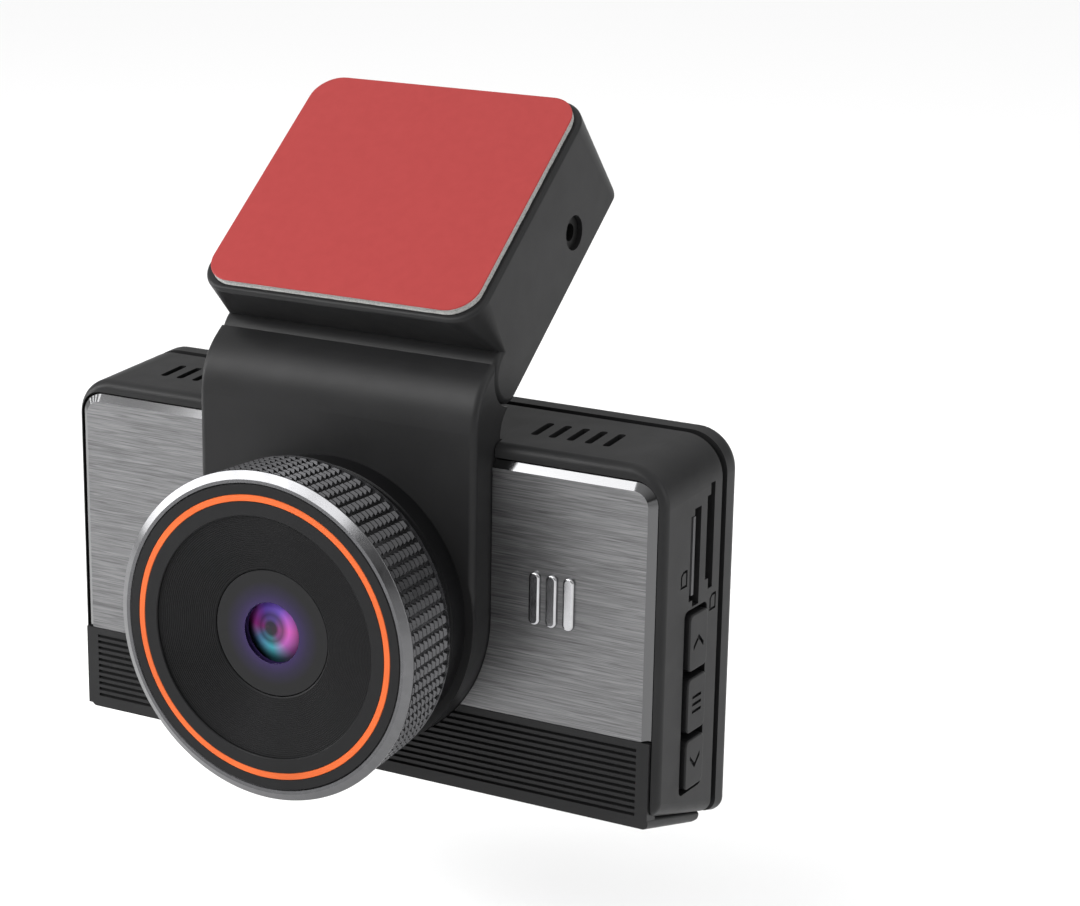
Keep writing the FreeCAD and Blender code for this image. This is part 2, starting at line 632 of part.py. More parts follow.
def make_rear_shell():
    outer = body_block(GROOVE_REAR_Y, REAR_Y)
    outer = fillet_where(outer, 1.5, lambda b: b.YMin > REAR_Y - 0.01)
    shell = outer.cut(body_block(GROOVE_REAR_Y - 0.01, GROOVE_REAR_Y + 1.9, WALL))
    glass_seat = rounded_plate_y(
        GLASS_HALF_WIDTH + 0.1, GLASS_LOW - 0.1, GLASS_HIGH + 0.1, 3.1, 3.1,
        REAR_Y - GLASS_DEPTH, REAR_Y + 1)
    shell = shell.cut(moved_x(glass_seat, REAR_MIDDLE))
    for x, z in CORNER_SCREWS:
        shell = shell.fuse(
            cylinder_y(CORNER_POST_R, GROOVE_REAR_Y, GROOVE_REAR_Y + 1.95, x, z))
    shell = shell.removeSplitter()
    window = box(-LCD_HALF_WIDTH - 0.3, LCD_HALF_WIDTH + 0.3, GROOVE_REAR_Y, REAR_Y,
                 LCD_LOW - 0.3, LCD_HIGH + 0.3)
    shell = shell.cut(moved_x(window, REAR_MIDDLE))
    for x, z in CORNER_SCREWS:
        shell = shell.cut(cylinder_y(SCREW_R + 0.15, GROOVE_REAR_Y, REAR_Y, x, z))
        shell = shell.cut(cylinder_y(SCREW_HEAD_R + 0.2, GROOVE_REAR_Y + 1.2, REAR_Y, x, z))
    parts["rear_shell"] = shell


def make_display():
    glass = rounded_plate_y(
        GLASS_HALF_WIDTH, GLASS_LOW, GLASS_HIGH, 3.0, 3.0, REAR_Y - GLASS_DEPTH, REAR_Y - 0.05)
    panel = box(-LCD_HALF_WIDTH, LCD_HALF_WIDTH, REAR_Y - 3.4, REAR_Y - GLASS_DEPTH,
                LCD_LOW, LCD_HIGH)
    parts["display_glass"] = moved_x(glass, REAR_MIDDLE)
    parts["lcd_panel"] = moved_x(panel, REAR_MIDDLE)


def make_fascia():
    panel = rounded_plate_y(OPENING_HALF_WIDTH - 0.1, FRONT_BOTTOM + 0.4, OPENING_TOP - 0.1,
                            0.6, OPENING_CORNER_R - 0.1, PLATE_THICKNESS, FRONT_WALL_Y)
    band = box(-PLATE_HALF_WIDTH, PLATE_HALF_WIDTH, 0, FRONT_WALL_Y,
               FASCIA_BOTTOM + 0.4, PLATE_LOW - 0.1)
    panel, band = [moved_x(shape, PLATE_MIDDLE) for shape in (panel, band)]
    foot = prism_x([
        (0, body_bottom(0)), (0, FASCIA_BOTTOM), (15.2, -34.4), (16.4, -34.25),
        (FOOT_REAR_Y, -33.7), (FOOT_REAR_Y, body_bottom(FOOT_REAR_Y))], *FOOT_ENDS)
    foot = fillet_where(foot, 0.8, lambda b: b.XLength < 0.1 and b.YLength > 12)
    fascia = panel.fuse([band, foot]).removeSplitter()
    for i in range(RIB_COUNT):
        z = RIB_TOP - RIB_PITCH * i
        groove = prism_x([(-0.1, z), (RIB_DEPTH, z - 0.18), (RIB_DEPTH, z - 0.36),
                          (-0.1, z - 0.54)], *RIB_ENDS)
        fascia = fascia.cut(groove)
    fascia = fascia.cut(arm_footprint(0.12, -1, FRONT_WALL_Y + 0.1))
    parts["fascia"] = fascia


def make_plates():
    """Two plates with a polished slope along their top and outer edges."""
    def section(y, inset):
        return rounded_outline(PLATE_HALF_WIDTH - inset, PLATE_LOW, PLATE_HIGH - inset, 0.2,
                               PLATE_CORNER_R - inset, lambda x, z: V(x + PLATE_MIDDLE, y, z))

    middle = section(PLATE_SLOPE_DEPTH, 0)
    slope = Part.makeLoft([section(0, PLATE_SLOPE_WIDTH), middle], True, True)
    base = Part.makeLoft([middle, section(PLATE_THICKNESS, 0)], True, True)
    plate = slope.fuse(base).removeSplitter()
    plate = plate.cut(arm_footprint(0.12, -1, 2))
    parts["plate_right"] = plate.common(box(0, 60, -1, 3, -30, 30))
    parts["plate_left"] = plate.common(box(-60, 0, -1, 3, -30, 30))


def make_badge():
    """Plain polished ornament on the right plate: three equal upright bars."""
    half_height, radius, proud, pitch = 2.9, 0.85, 0.6, 2.55
    middle_x, middle_z = 31.3, 0.2
    bars = []
    for i in (-1, 0, 1):
        x = middle_x + i * pitch
        bar = box(x - radius, x + radius, -proud, 0, middle_z - half_height,
                  middle_z + half_height)
        for side in (-1, 1):
            bar = bar.fuse(cylinder_y(radius, -proud, 0, x, middle_z + side * half_height))
        bar = bar.removeSplitter()
        bars.append(fillet_where(bar, 0.35, lambda b: b.YMax < -proud + 0.01))
    parts["badge"] = Part.makeCompound(bars)


# ---------------------------------------------------------------- keys
def key_symbol(index, x0, x1, y, z):
    """Debossed signs: arrow up, three bars, arrow down."""
    if index == 1:
        bars = [box(x0, x1, y - 1.25, y + 1.25, z + dz - 0.22, z + dz + 0.22)
                for dz in (-1.05, 0.0, 1.05)]
        return bars[0].fuse(bars[1:])
    tip = 1.0 if index == 0 else -1.0
    outline = [(y - 1.4, z - tip * 0.5), (y, z + tip * 0.9), (y + 1.4, z - tip * 0.5),
               (y + 1.4, z - tip * 1.2), (y, z + tip * 0.2), (y - 1.4, z - tip * 1.2)]
    return prism_x(outline, x0, x1)


def make_keys():
    names = ["key_up", "key_menu", "key_down"]
    crown = body_block(3.0, 16.0, -KEY_PROUD)
    travel_gap = 0.55
    inner_x = right_side(DRAFT_FROM) - WALL - 0.1
    switches = []
    for index, (low, high) in enumerate(KEY_Z):
        cap = box(inner_x, 50, KEY_Y[0], KEY_Y[1], low, high)
        cap = fillet_where(cap, KEY_CORNER_R, lambda b: b.XLength > 3)
        cap = cap.common(crown)
        face_x = cap.BoundBox.XMax
        cap = fillet_where(cap, 0.25, lambda b: b.XMin > face_x - 0.5)
        flange = box(inner_x - 0.5, inner_x, KEY_Y[0] - 1.4, KEY_Y[1] + 0.8, low, high)
        middle_y, middle_z = sum(KEY_Y) / 2, (low + high) / 2
        plunger = cylinder_x(1.2, inner_x - 0.9, inner_x - 0.5, middle_y, middle_z)
        key = cap.fuse([flange, plunger]).removeSplitter()
        surface_x = right_side(middle_y) + KEY_PROUD
        key = key.cut(key_symbol(index, surface_x - SYMBOL_DEPTH, 50, middle_y, middle_z))
        parts[names[index]] = key
        case_x = inner_x - 0.9 - travel_gap
        case = box(case_x - 1.4, case_x, middle_y - 2.2, middle_y + 2.2,
                   middle_z - 2.2, middle_z + 2.2)
        dome = cylinder_x(1.1, case_x, case_x + 0.1, middle_y, middle_z)
        switches.append(case.fuse(dome).removeSplitter())
    parts["key_switches"] = Part.makeCompound(switches)
    board_x = inner_x - 0.9 - travel_gap - 1.4
    parts["key_board"] = box(board_x - 0.9, board_x, 6.4, 13.2, -26.8, -1.5)


# ---------------------------------------------------------------- boards, cards, power
def make_main_board():
    board = box(-44.5, 41.6, BOARD_Y, BOARD_Y + BOARD_THICKNESS, -26.6, 17.0)
    for x, z in CORNER_SCREWS:
        board = board.cut(cylinder_y(CORNER_POST_R + 0.3, 0, 20, x, z))
    for x, z in BOARD_SCREWS:
        board = board.cut(cylinder_y(SCREW_R + 0.15, 0, 20, x, z))
    board = board.fuse(box(41.6, 44.0, BOARD_Y, BOARD_Y + BOARD_THICKNESS, -0.5, 8.0))
    parts["main_board"] = board.removeSplitter()
    parts["processor"] = box(-7, 7, BOARD_Y - 1.4, BOARD_Y, -12, 2)
    plate = box(-20, 20, BOARD_Y - 2.2, BOARD_Y - 1.4, -14.5, 14.5)
    fins = [box(-20, 20, BOARD_Y - 3.0, BOARD_Y - 2.2, z, z + 0.8)
            for z in (9.0, 10.6, 12.2, 13.7)]
    parts["heat_spreader"] = plate.fuse(fins).removeSplitter()
    screws = [screw_y(x, z, BOARD_Y + BOARD_THICKNESS, 7.0) for x, z in BOARD_SCREWS]
    parts["board_screws"] = Part.makeCompound(screws)
    corner = [screw_y(x, z, GROOVE_REAR_Y + 1.2, 11.5) for x, z in CORNER_SCREWS]
    parts["shell_screws"] = Part.makeCompound(corner)
    arm = [screw_y(x, z, CAVITY_Y, -2.0) for x, z in ARM_SCREWS]
    parts["arm_screws"] = Part.makeCompound(arm)


def card_socket(y_low, y_high, card_y, card_z, card_half):
    block = box(31.0, 45.3, y_low, y_high, card_z - card_half - 0.9, card_z + card_half + 0.9)
    return block.cut(box(31.8, 45.3, card_y - 0.6, card_y + 0.6,
                         card_z - card_half - 0.3, card_z + card_half + 0.3))


def make_cards():
    parts["card_socket_front"] = card_socket(8.3, BOARD_Y, CARD_Y, CARD_MIDDLE_Z, 5.5)
    parts["card_socket_rear"] = card_socket(
        BOARD_Y + BOARD_THICKNESS, 14.7, REAR_CARD_Y, REAR_CARD_MIDDLE_Z, 5.5)
    length, thickness, width = CARD_SIZE
    card = box(CARD_END_X - length, CARD_END_X, CARD_Y - thickness / 2, CARD_Y + thickness / 2,
               CARD_MIDDLE_Z - width / 2, CARD_MIDDLE_Z + width / 2)
    notch = box(30.0, 36.0, CARD_Y - 1, CARD_Y + 1, CARD_MIDDLE_Z + width / 2 - 1.0,
                CARD_MIDDLE_Z + width / 2 + 1)
    parts["memory_card"] = card.cut(notch)


def make_power_and_sound():
    cell = box(-36, -1, 12.4, 16.6, -20, 8)
    parts["battery"] = fillet_where(cell, 1.6, lambda b: b.XLength > 30)
    speaker = cylinder_y(7.5, 5.0, 8.6, -33.5, -13.0)
    cone = Part.makeCone(5.6, 3.0, 1.4, V(-33.5, 5.0, -13.0), Y_AXIS)
    parts["speaker"] = speaker.cut(cone)
    parts["microphone"] = cylinder_y(2.0, 8.8, BOARD_Y, 12.0, -24.0)


make_pad()
make_head()
make_head_inside()
make_hinge()
make_arm()
make_lens_rings()
make_baffle()
make_optics()
make_front_shell()
make_rear_shell()
make_display()
make_fascia()
make_plates()
make_badge()
make_keys()
make_main_board()
make_cards()
make_power_and_sound()

pad_y, pad_z = head_point(PAD_MIDDLE, PAD_FACE)
to_pad = FreeCAD.Placement(V(0, -pad_y, -pad_z), FreeCAD.Rotation())

os.makedirs("parts", exist_ok=True)
for name, shape in parts.items():
    shape.Placement = to_pad.multiply(shape.Placement)
    shape.exportStep("parts/%s.step" % name)
    print(name, "solids", len(shape.Solids), "valid", shape.isValid(),
          "volume", round(shape.Volume, 2))
print("pad centre", round(pad_y, 4), round(pad_z, 4), "hinge", round(HINGE_Y, 4),
      round(HINGE_Z, 4), "nodes", len(parts))
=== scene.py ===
import json
import math

import bmesh
import bpy
from mathutils import Matrix, Vector


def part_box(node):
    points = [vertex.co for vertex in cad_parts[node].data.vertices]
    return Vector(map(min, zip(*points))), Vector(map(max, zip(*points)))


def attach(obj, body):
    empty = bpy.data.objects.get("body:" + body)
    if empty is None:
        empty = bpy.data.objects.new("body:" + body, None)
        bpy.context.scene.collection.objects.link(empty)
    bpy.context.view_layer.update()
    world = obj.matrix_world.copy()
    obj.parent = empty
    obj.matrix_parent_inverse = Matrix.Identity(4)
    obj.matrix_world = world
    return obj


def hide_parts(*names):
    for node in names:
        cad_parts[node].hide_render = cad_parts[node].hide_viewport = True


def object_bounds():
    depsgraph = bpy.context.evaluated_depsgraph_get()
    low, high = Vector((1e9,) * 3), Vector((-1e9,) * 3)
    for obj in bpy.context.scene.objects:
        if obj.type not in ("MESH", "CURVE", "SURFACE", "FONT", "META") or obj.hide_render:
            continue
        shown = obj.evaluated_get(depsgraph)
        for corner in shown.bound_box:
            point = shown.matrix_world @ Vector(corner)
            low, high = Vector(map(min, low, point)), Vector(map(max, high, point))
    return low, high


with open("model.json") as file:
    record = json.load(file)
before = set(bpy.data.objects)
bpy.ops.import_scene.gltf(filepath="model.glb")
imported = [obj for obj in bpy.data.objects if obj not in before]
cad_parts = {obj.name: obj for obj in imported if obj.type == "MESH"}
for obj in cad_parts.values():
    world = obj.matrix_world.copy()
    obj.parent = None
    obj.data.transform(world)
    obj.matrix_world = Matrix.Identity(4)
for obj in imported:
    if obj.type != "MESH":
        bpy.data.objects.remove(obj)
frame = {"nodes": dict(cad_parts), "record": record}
CAD_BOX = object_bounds()

# Dash camera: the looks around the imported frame, in metres, in the row frame.
MM = 0.001

# Main sizes of the lens unit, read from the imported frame. Radii and depths are in mm, and a
# depth is counted backwards from the front of the knurled ring.
RING_LOW, RING_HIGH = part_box("knurled_ring")
LENS_X = (RING_LOW.x + RING_HIGH.x) / 2
LENS_Z = (RING_LOW.z + RING_HIGH.z) / 2
LENS_FRONT = RING_LOW.y
RING_R = (RING_HIGH.x - RING_LOW.x) / 2 / MM
RING_LENGTH = (RING_HIGH.y - RING_LOW.y) / MM
ACCENT_LOW, ACCENT_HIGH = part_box("accent_ring")
ACCENT_R = (ACCENT_HIGH.x - ACCENT_LOW.x) / 2 / MM
ACCENT_WIDTH = 0.9
BAFFLE_LOW, BAFFLE_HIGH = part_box("lens_baffle")
BAFFLE_R = (BAFFLE_HIGH.x - BAFFLE_LOW.x) / 2 / MM
BEZEL_LOW, BEZEL_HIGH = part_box("lens_bezel")
BEZEL_R = (BEZEL_HIGH.x - BEZEL_LOW.x) / 2 / MM
COVER_LOW, COVER_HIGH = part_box("cover_glass")
COVER_R = (COVER_HIGH.x - COVER_LOW.x) / 2 / MM
COVER_DEPTH = (COVER_LOW.y - LENS_FRONT) / MM
COLLAR_LOW, COLLAR_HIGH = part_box("lens_collar")
COLLAR_R = (COLLAR_HIGH.x - COLLAR_LOW.x) / 2 / MM

# Knurled ring: polished front slope, then a slightly conical band of small teeth.
SLOPE_INNER_R = BEZEL_R + 0.6
SLOPE_DEPTH = 0.65
KNURL_REAR_R = RING_R - 0.7
KNURL_STRIPS = 80
KNURL_ROWS = 9
KNURL_HEIGHT = 0.42
KNURL_FRONT = 1.0
KNURL_REAR_MARGIN = 0.75
RING_SEAT_R = COLLAR_R - 0.9
RING_BACK = 2.35
RING_SEGMENTS = 240

# One tooth: half widths as shares of a strip, and ends as shares of a row's length.
TOOTH_FOOT_WIDTH = 0.40
TOOTH_TOP_WIDTH = 0.24
TOOTH_FOOT_ENDS = (0.06, 0.96)
TOOTH_TOP_ENDS = (0.42, 0.6)

# Fixed rings inside the knurled one.
COLLAR_INNER_R = 17.4
BEZEL_LIP_R = 19.4
BEZEL_LIP_DEPTH = 1.55
BEZEL_GROOVE_DEPTH = 0.5
BAFFLE_INNER_R = 15.4
BAFFLE_FRONT = 0.35
BAFFLE_BACK = 2.75
BAFFLE_RIDGES = 30
COVER_THICKNESS = 0.9

# Adhesive pad. The waves make the foam's cut edge uneven: two rates along the outline, and a
# shift of the second one through the thickness.
PAD_CORNER_R = 4.2
PAD_CORNER_STEPS = 12
PAD_EDGE_STEPS = 40
EDGE_WAVES = (0.9, 2.3)
EDGE_WAVE_SHIFT = 5

# Points nearer to the lens axis than this, in mm, share one vertex.
ON_AXIS = 1e-6
# Edges that turn by more than this, in degrees, are shaded sharp.
SHARP_ANGLE = 28
# A face looks forwards when the Y part of its normal is below this.
FRONT_NORMAL = -0.97

# Middle of the coating's painted reflection, a soft coloured glow painted into the base colour a
# little off the lens axis (X, Z), in metres, and the radius in mm at which the painted reflection
# has faded out.
REFLECTION_PAINT_OFFSET = (-0.0010, 0.0001)
REFLECTION_PAINT_R = 7.0

# Dark border of the display's picture area inside the panel, in metres.
PICTURE_SIDE_BORDER = 0.0015
PICTURE_END_BORDER = 0.001

# Camera at the photograph's viewing angle: degrees, metres, and mm for the lens.
CAMERA_AZIMUTH = 27.42
CAMERA_ELEVATION = 16.08
CAMERA_ROLL = 1.056
CAMERA_DISTANCE = 0.3758
CAMERA_AIM = Vector((0.02085, 0.00536, -0.03591))
CAMERA_LENS = 90.4
SENSOR_WIDTH = 36

FLOOR_GAP = 0.03
FLOOR_HALF_SIZE = 6.0
WORLD_STRENGTH = 1.4

# Brightness of the studio at sines of the height above the horizon.
WORLD_LEVELS = [(0.0, 0.75), (0.1, 0.75), (0.16, 0.08), (0.9, 1.0)]

# Directions, seen from the lens, of the row of soft lights that arches from left to front. The
# last one stands above the row.
KEY_ARCH = [(-0.97, -0.21, 0.12), (-0.91, -0.33, 0.26), (-0.82, -0.44, 0.38),
            (-0.68, -0.55, 0.49), (-0.50, -0.62, 0.60), (-0.29, -0.75, 0.60),
            (-0.02, -0.84, 0.54), (-0.38, -0.55, 0.74)]
ARCH_REACH = 0.6
ARCH_SIZE = (0.16, 0.16)
ARCH_POWER = 0.56

# One weak light on the right, placed from the middle of the object.
FILL_PLACE = Vector((0.7, 0.1, 0.25))
FILL_SIZE = (0.3, 0.5)
FILL_POWER = 1.6


# ---------------------------------------------------------------- materials
class Surface:
    """A procedural material under construction, in object coordinates."""

    def __init__(self, name, color, roughness, metallic=0.0, specular=0.5):
        self.material = bpy.data.materials.new(name)
        self.material.use_nodes = True
        self.nodes = self.material.node_tree.nodes
        self.links = self.material.node_tree.links
        self.shader = self.nodes["Principled BSDF"]
        self.set("Base Color", (*color, 1))
        self.set("Roughness", roughness)
        self.set("Metallic", metallic)
        self.set("Specular IOR Level", specular)
        self.coords = self.nodes.new("ShaderNodeTexCoord")

    def set(self, socket, value):
        self.shader.inputs[socket].default_value = value

    def mapped(self, scale):
        node = self.nodes.new("ShaderNodeMapping")
        node.inputs["Scale"].default_value = scale
        self.links.new(self.coords.outputs["Object"], node.inputs["Vector"])
        return node.outputs["Vector"]

    def noise(self, scale, detail=4.0, stretch=None, distortion=0.0):
        node = self.nodes.new("ShaderNodeTexNoise")
        node.inputs["Detail"].default_value = detail
        node.inputs["Distortion"].default_value = distortion
        if stretch:
            node.inputs["Scale"].default_value = 1.0
            self.links.new(self.mapped(tuple(scale * s for s in stretch)), node.inputs["Vector"])
        else:
            node.inputs["Scale"].default_value = scale
            self.links.new(self.coords.outputs["Object"], node.inputs["Vector"])
        return node.outputs["Fac"]

    def ramp(self, source, stops):
        node = self.nodes.new("ShaderNodeValToRGB")
        elements = node.color_ramp.elements
        while len(elements) < len(stops):
            elements.new(0.5)
        for element, (position, color) in zip(elements, stops):
            element.position = position
            element.color = (*color, 1)
        self.links.new(source, node.inputs["Fac"])
        return node.outputs["Color"]

    def spread(self, source, low, high):
        """Map a 0 to 1 value onto a range."""
        node = self.nodes.new("ShaderNodeMapRange")
        node.inputs["To Min"].default_value = low
        node.inputs["To Max"].default_value = high
        self.links.new(source, node.inputs["Value"])
        return node.outputs["Result"]

    def math(self, operation, first, second=None):
        node = self.nodes.new("ShaderNodeMath")
        node.operation = operation
        for socket, value in zip(node.inputs, (first, second)):
            if value is None:
                continue
            if isinstance(value, (int, float)):
                socket.default_value = value
            else:
                self.links.new(value, socket)
        return node.outputs[0]

    def mix(self, factor, first, second, blend="MIX"):
        """Colour mix; the factor is a socket or a plain number."""
        node = self.nodes.new("ShaderNodeMix")
        node.data_type = "RGBA"
        node.blend_type = blend
        for name, value in (("A", first), ("B", second)):
            socket = [s for s in node.inputs if s.name == name and s.type == "RGBA"][0]
            if isinstance(value, tuple):
                socket.default_value = (*value, 1)
            else:
                self.links.new(value, socket)
        if isinstance(factor, float):
            node.inputs["Factor"].default_value = factor
        else:
            self.links.new(factor, node.inputs["Factor"])
        return [s for s in node.outputs if s.type == "RGBA"][0]

    def blend_values(self, factor, first, second):
        """Mix of two plain values, such as roughnesses."""
        node = self.nodes.new("ShaderNodeMix")
        for name, value in (("A", first), ("B", second)):
            socket = [s for s in node.inputs if s.name == name and s.type == "VALUE"][0]
            if isinstance(value, (int, float)):
                socket.default_value = value
            else:
                self.links.new(value, socket)
        self.links.new(factor, node.inputs["Factor"])
        return [s for s in node.outputs if s.type == "VALUE"][0]

    def wire(self, source, socket):
        self.links.new(source, self.shader.inputs[socket])
        return self

    def bump(self, source, strength, distance):
        node = self.nodes.new("ShaderNodeBump")
        node.inputs["Strength"].default_value = strength
        node.inputs["Distance"].default_value = distance
        self.links.new(source, node.inputs["Height"])
        self.links.new(node.outputs["Normal"], self.shader.inputs["Normal"])
        return self

    def position(self):
        node = self.nodes.new("ShaderNodeSeparateXYZ")
        self.links.new(self.coords.outputs["Object"], node.inputs["Vector"])
        return node.outputs["X"], node.outputs["Y"], node.outputs["Z"]

    def lens_radius(self):
        """Distance from the lens axis, in millimetres."""
        x, _, z = self.position()
        dx = self.math("SUBTRACT", x, LENS_X)
        dz = self.math("SUBTRACT", z, LENS_Z)
        squares = self.math("ADD", self.math("MULTIPLY", dx, dx), self.math("MULTIPLY", dz, dz))
        return self.math("MULTIPLY", self.math("SQRT", squares), 1 / MM)

    def facing_front(self):
        """1 on faces that look along -Y, 0 on the others."""
        node = self.nodes.new("ShaderNodeSeparateXYZ")
        self.links.new(self.coords.outputs["Normal"], node.inputs["Vector"])
        return self.math("LESS_THAN", node.outputs["Y"], FRONT_NORMAL)


def satin_plastic(name, color, roughness=0.42, grain=0.25, specular=0.16):
    """Fine spark-eroded moulding texture with faint tone and gloss variation."""
    surface = Surface(name, color, roughness, specular=specular)
    tone = surface.noise(90, 3)
    darker = tuple(c * 0.86 for c in color)
    lighter = tuple(c * 1.14 for c in color)
    surface.wire(surface.ramp(tone, [(0.3, darker), (0.7, lighter)]), "Base Color")
    gloss = surface.noise(260, 2)
    surface.wire(surface.spread(gloss, roughness - 0.06, roughness + 0.06), "Roughness")
    surface.bump(surface.noise(5200, 3), grain, 0.00003)
    return surface.material


def brushed_metal():
    """Metal brushed along X on its front face, polished on its sloping edges."""
    surface = Surface("brushed_plate", (0.5, 0.5, 0.51), 0.36, 1.0)
    front = surface.facing_front()
    streaks = surface.noise(1, 6, (130, 130, 6500), 1.0)
    broad = surface.noise(1, 3, (45, 45, 1400), 0.3)
    streak_color = surface.ramp(streaks, [(0.3, (0.10, 0.10, 0.102)), (0.7, (0.235, 0.235, 0.239))])
    broad_color = surface.ramp(broad, [(0.3, (0.86, 0.86, 0.86)), (0.7, (1.0, 1.0, 1.0))])
    brushed = surface.mix(1.0, streak_color, broad_color, "MULTIPLY")
    surface.wire(surface.mix(front, (0.11, 0.11, 0.112), brushed), "Base Color")
    rough = surface.spread(streaks, 0.34, 0.46)
    surface.wire(surface.blend_values(front, 0.1, rough), "Roughness")
    surface.bump(surface.math("MULTIPLY", streaks, front), 0.12, 0.00002)
    return surface.material


def plain_metal(name, color, roughness):
    """Smooth metal with faint tone and gloss variation."""
    surface = Surface(name, color, roughness, 1.0)
    tone = surface.noise(900, 3)
    surface.wire(surface.ramp(tone, [(0.25, tuple(c * 0.85 for c in color)), (0.75, color)]),
                 "Base Color")
    surface.wire(surface.spread(tone, roughness * 0.8, roughness * 1.25), "Roughness")
    surface.bump(tone, 0.05, 0.00002)
    return surface.material


def liner_film():
    """Red release film: smooth, faintly mottled where it lies on the foam."""
    color = (0.27, 0.027, 0.026)
    surface = Surface("red_film", color, 0.42, specular=0.2)
    mottled = surface.noise(700, 4)
    surface.wire(surface.ramp(mottled, [(0.3, (0.262, 0.0255, 0.0245)),
                                        (0.7, (0.278, 0.0285, 0.0275))]), "Base Color")
    surface.wire(surface.spread(surface.noise(120, 2), 0.38, 0.5), "Roughness")
    surface.bump(mottled, 0.08, 0.00004)
    return surface.material


def foam():
    """Light-grey foam with small cells."""
    surface = Surface("grey_foam", (0.42, 0.42, 0.40), 0.9, specular=0.2)
    cells = surface.nodes.new("ShaderNodeTexVoronoi")
    cells.inputs["Scale"].default_value = 3800
    surface.links.new(surface.coords.outputs["Object"], cells.inputs["Vector"])
    surface.wire(surface.ramp(cells.outputs["Distance"],
                              [(0.1, (0.20, 0.20, 0.195)), (0.6, (0.34, 0.34, 0.33))]),
                 "Base Color")
    surface.bump(cells.outputs["Distance"], 0.6, 0.00008)
    return surface.material


def painted_coating_reflection():
    """Painted reflection of the front element's anti-reflection coating: soft coloured rings,
    painted into the base colour, that change round the axis.
    """
    surface = Surface("coated_glass", (0.012, 0.012, 0.014), 0.2, specular=0.12)
    x, _, z = surface.position()
    dx = surface.math("SUBTRACT", x, LENS_X + REFLECTION_PAINT_OFFSET[0])
    dz = surface.math("SUBTRACT", z, LENS_Z + REFLECTION_PAINT_OFFSET[1])
    squares = surface.math("ADD", surface.math("MULTIPLY", dx, dx),
                           surface.math("MULTIPLY", dz, dz))
    radius = surface.math("SQRT", squares)
    angle = surface.math("ARCTAN2", dz, dx)
    turn = surface.math("ADD", surface.math("MULTIPLY", angle, 0.5 / math.pi), 0.5)
    # Painted reflection colours round the axis: left, lower left, below, lower right, right, upper
    # right, upper left, left again.
    reflection_hues = surface.ramp(turn, [
        (0.0, (0.40, 0.045, 0.30)), (0.10, (0.10, 0.22, 0.40)), (0.25, (0.07, 0.36, 0.42)),
        (0.38, (0.36, 0.09, 0.36)), (0.5, (0.46, 0.08, 0.34)), (0.68, (0.14, 0.08, 0.42)),
        (0.82, (0.13, 0.07, 0.42)), (1.0, (0.40, 0.045, 0.30))])
    # Painted glow: brightness of the painted reflection rings by radius, dark in the middle and
    # faded out at the outer radius.
    share = surface.math("DIVIDE", radius, REFLECTION_PAINT_R * MM)
    strength = surface.ramp(share, [
        (0.0, (0.02,) * 3), (0.12, (0.03,) * 3), (0.19, (0.34,) * 3), (0.27, (0.22,) * 3),
        (0.40, (1.0,) * 3), (0.50, (0.70,) * 3), (0.66, (0.22,) * 3), (0.84, (0.07,) * 3),
        (1.0, (0.0,) * 3)])
    surface.wire(surface.mix(strength, (0.010, 0.010, 0.012), reflection_hues), "Base Color")
    surface.wire(surface.spread(surface.noise(200, 2), 0.16, 0.24), "Roughness")
    return surface.material


def cover_glass_material():
    """Flat front glass: clear in the middle, printed black from about half its radius, with a
    painted violet glow of reflection on the print next to the clear middle.
    """
    surface = Surface("lens_glass", (0.009, 0.009, 0.0095), 0.14, specular=0.14)
    share = surface.math("DIVIDE", surface.lens_radius(), COVER_R)
    opacity = surface.ramp(share, [(0.48, (0.0,) * 3), (0.49, (1.0,) * 3)])
    surface.wire(opacity, "Alpha")
    # Painted reflection: a faint violet glow painted on the print round the clear middle, fading to
    # plain black print further out.
    painted_glow_tint = surface.ramp(share, [(0.48, (0.024, 0.014, 0.060)), (0.64, (0.014, 0.011, 0.028)),
                                (0.82, (0.009, 0.009, 0.0095))])
    surface.wire(painted_glow_tint, "Base Color")
    surface.wire(surface.spread(surface.noise(300, 2), 0.11, 0.18), "Roughness")
    return surface.material


def screen_glass_material():
    """Black display glass with the unlit picture area just visible."""
    panel_low, panel_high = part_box("lcd_panel")
    surface = Surface("screen_glass", (0.006, 0.006, 0.007), 0.05, specular=0.3)
    x, _, z = surface.position()
    across = surface.math("LESS_THAN", surface.math("ABSOLUTE", x),
                          panel_high.x - PICTURE_SIDE_BORDER)
    above = surface.math("GREATER_THAN", z, panel_low.z + PICTURE_END_BORDER)
    below = surface.math("LESS_THAN", z, panel_high.z - PICTURE_END_BORDER)
    inside = surface.math("MULTIPLY", across, surface.math("MULTIPLY", above, below))
    surface.wire(surface.mix(inside, (0.004, 0.004, 0.0045), (0.013, 0.014, 0.017)),
                 "Base Color")
    surface.wire(surface.spread(surface.noise(140, 3), 0.03, 0.08), "Roughness")
    surface.set("Coat Weight", 0.15)
    surface.set("Coat Roughness", 0.02)
    return surface.material


def board_material():
    """Green solder mask with a faint pattern of tracks."""
    surface = Surface("circuit_board", (0.015, 0.09, 0.045), 0.35)
    tracks = surface.nodes.new("ShaderNodeTexBrick")
    tracks.inputs["Scale"].default_value = 260
    tracks.inputs["Color1"].default_value = (0.012, 0.085, 0.04, 1)
    tracks.inputs["Color2"].default_value = (0.02, 0.11, 0.055, 1)
    tracks.inputs["Mortar"].default_value = (0.03, 0.15, 0.075, 1)
    surface.links.new(surface.coords.outputs["Object"], tracks.inputs["Vector"])
    surface.wire(tracks.outputs["Color"], "Base Color")
    surface.bump(tracks.outputs["Fac"], 0.2, 0.00003)
    return surface.material


